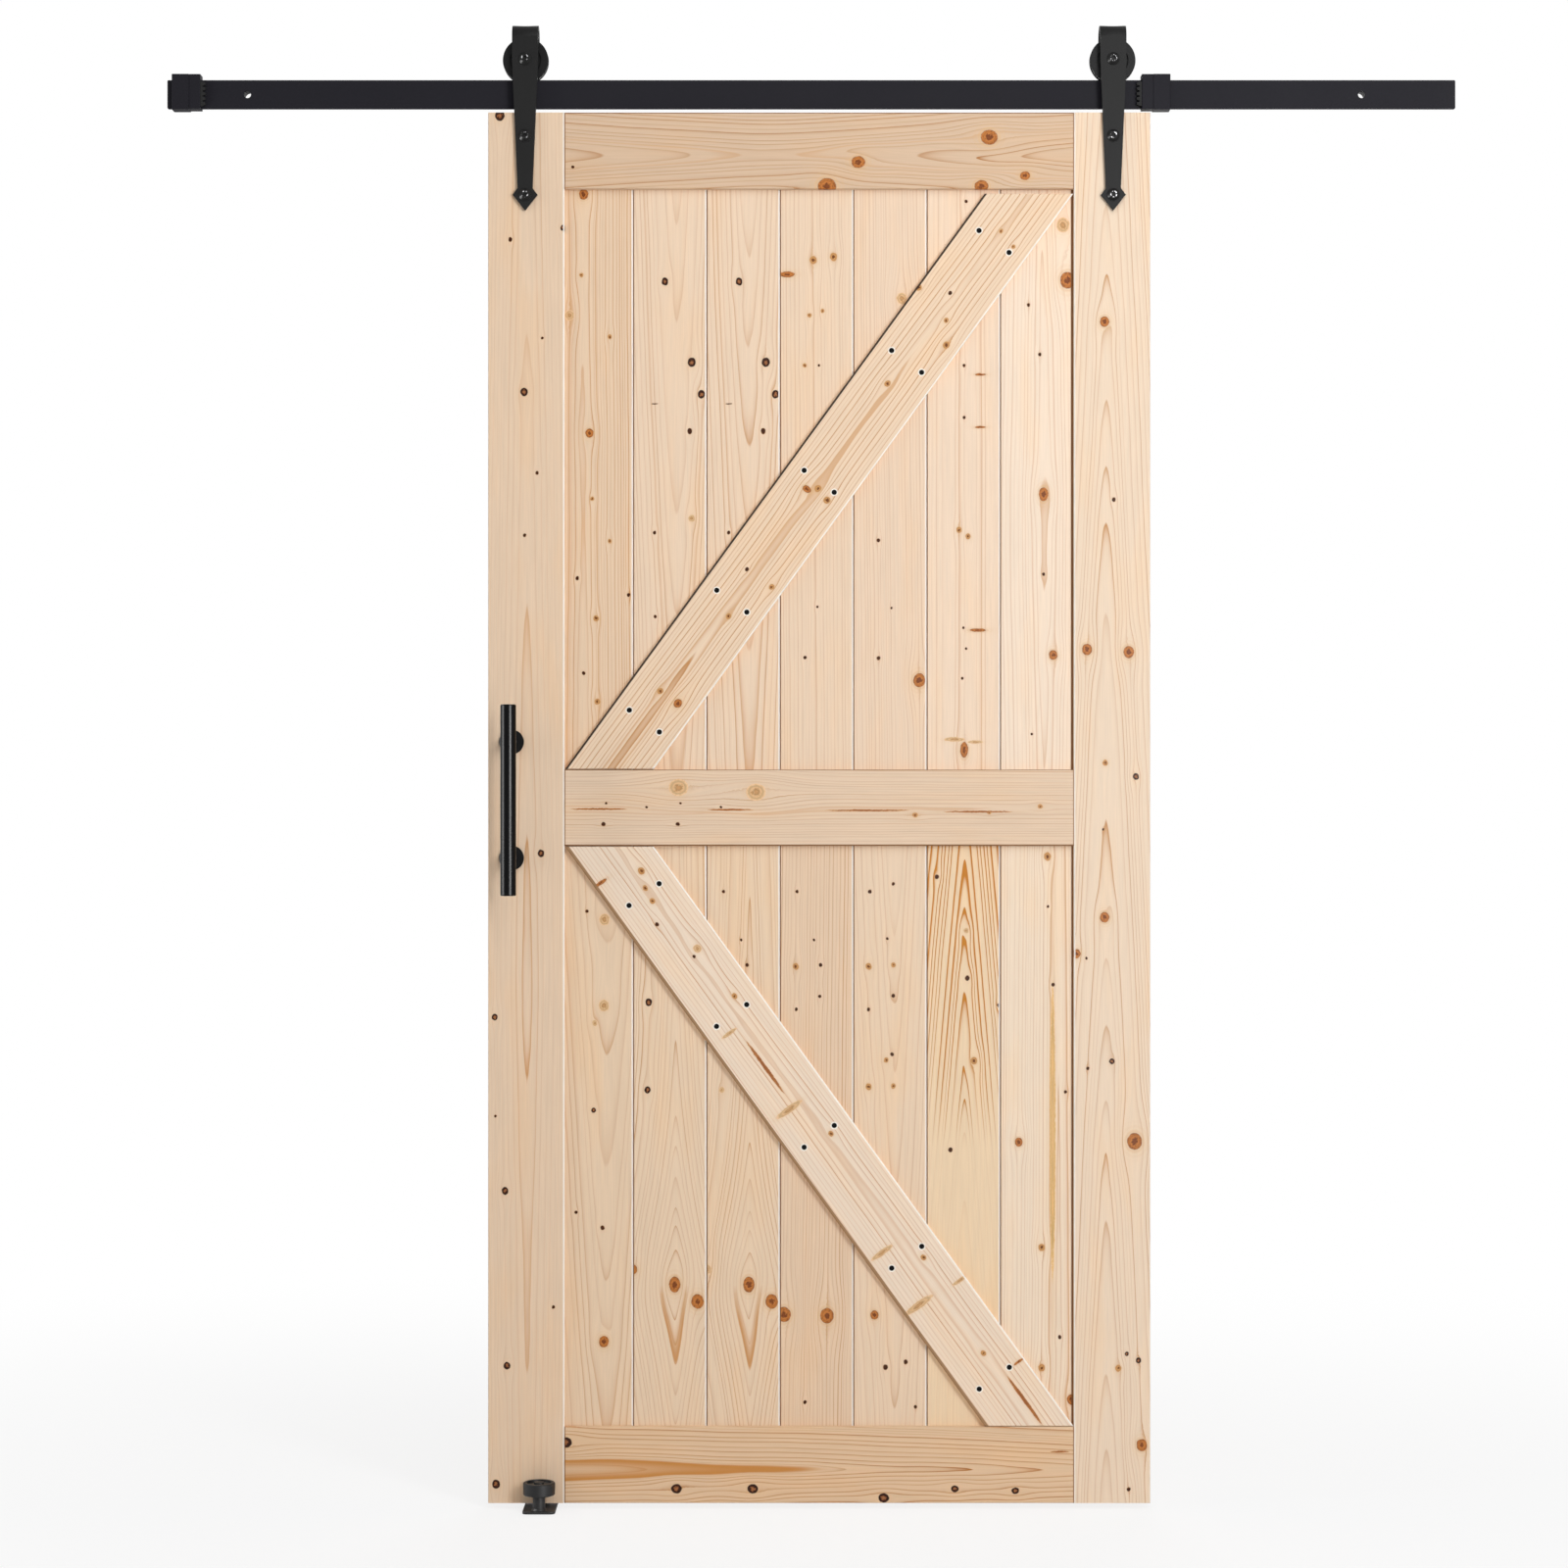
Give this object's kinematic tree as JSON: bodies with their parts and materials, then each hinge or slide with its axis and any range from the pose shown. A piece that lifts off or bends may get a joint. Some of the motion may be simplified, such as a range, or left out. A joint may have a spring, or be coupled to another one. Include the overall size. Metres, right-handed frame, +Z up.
{
  "type": "sliding barn door",
  "caption": "Framed and braced spruce door that hangs by strap hangers with grooved wheels on a flat wall track, with stops, a pull handle and a floor guide.",
  "frame": {"origin": "on the wall, at the centre of the left track spacer's wall face, on its bolt axis", "axes": "+X to the right along the track, +Y into the wall, +Z up; the door's front faces -Y"},
  "size_m": [1.98, 0.1616, 2.2783],
  "materials": {
    "spruce": "matte",
    "black_steel": "satin",
    "track_black": "satin",
    "wheel_black": "satin",
    "roller_black": "satin",
    "rubber": "matte"
  },
  "bodies": {
    "track_and_guide": {"track": "track_black", "left_spacer": "track_black", "right_spacer": "track_black", "left_stop": "track_black", "right_stop": "track_black", "left_bumper": "rubber", "right_bumper": "rubber", "guide_plate": "black_steel", "guide_front_post": "black_steel", "guide_rear_post": "black_steel"},
    "door": {"left_stile": "spruce", "right_stile": "spruce", "top_rail": "spruce", "middle_rail": "spruce", "bottom_rail": "spruce", "upper_board_1": "spruce", "upper_board_2": "spruce", "upper_board_3": "spruce", "upper_board_4": "spruce", "upper_board_5": "spruce", "upper_board_6": "spruce", "upper_board_7": "spruce", "lower_board_1": "spruce", "lower_board_2": "spruce", "lower_board_3": "spruce", "lower_board_4": "spruce", "lower_board_5": "spruce", "lower_board_6": "spruce", "lower_board_7": "spruce", "upper_brace": "spruce", "lower_brace": "spruce", "left_hanger_strap": "black_steel", "right_hanger_strap": "black_steel", "left_axle_bolt": "black_steel", "right_axle_bolt": "black_steel", "left_hanger_bolts": "black_steel", "right_hanger_bolts": "black_steel", "handle_bar": "black_steel", "handle_upper_post": "black_steel", "handle_lower_post": "black_steel"},
    "left_wheel": {"left_wheel": "wheel_black"},
    "right_wheel": {"right_wheel": "wheel_black"},
    "guide_front_roller": {"guide_front_roller": "roller_black"},
    "guide_rear_roller": {"guide_rear_roller": "roller_black"}
  },
  "joints": [
    {"name": "door_slide", "type": "slide", "parent": "track_and_guide", "child": "door", "axis": [1, 0, 0], "range_m": [-0.466, 0.011]},
    {"name": "left_wheel_spin", "type": "hinge", "parent": "door", "child": "left_wheel", "pos_m": [0.428, -0.035, 0.0518], "axis": [0, 1, 0], "continuous": true},
    {"name": "right_wheel_spin", "type": "hinge", "parent": "door", "child": "right_wheel", "pos_m": [1.33, -0.035, 0.0518], "axis": [0, 1, 0], "continuous": true},
    {"name": "guide_front_roller_spin", "type": "hinge", "parent": "track_and_guide", "child": "guide_front_roller", "pos_m": [0.451, -0.0726, -2.136], "axis": [0, 0, 1], "continuous": true},
    {"name": "guide_rear_roller_spin", "type": "hinge", "parent": "track_and_guide", "child": "guide_rear_roller", "pos_m": [0.451, 0.0126, -2.136], "axis": [0, 0, 1], "continuous": true}
  ],
  "couplings": [
    {"joint": "left_wheel_spin", "follows": "door_slide", "rad_per_m": 33.898},
    {"joint": "right_wheel_spin", "follows": "door_slide", "rad_per_m": 33.898}
  ]
}
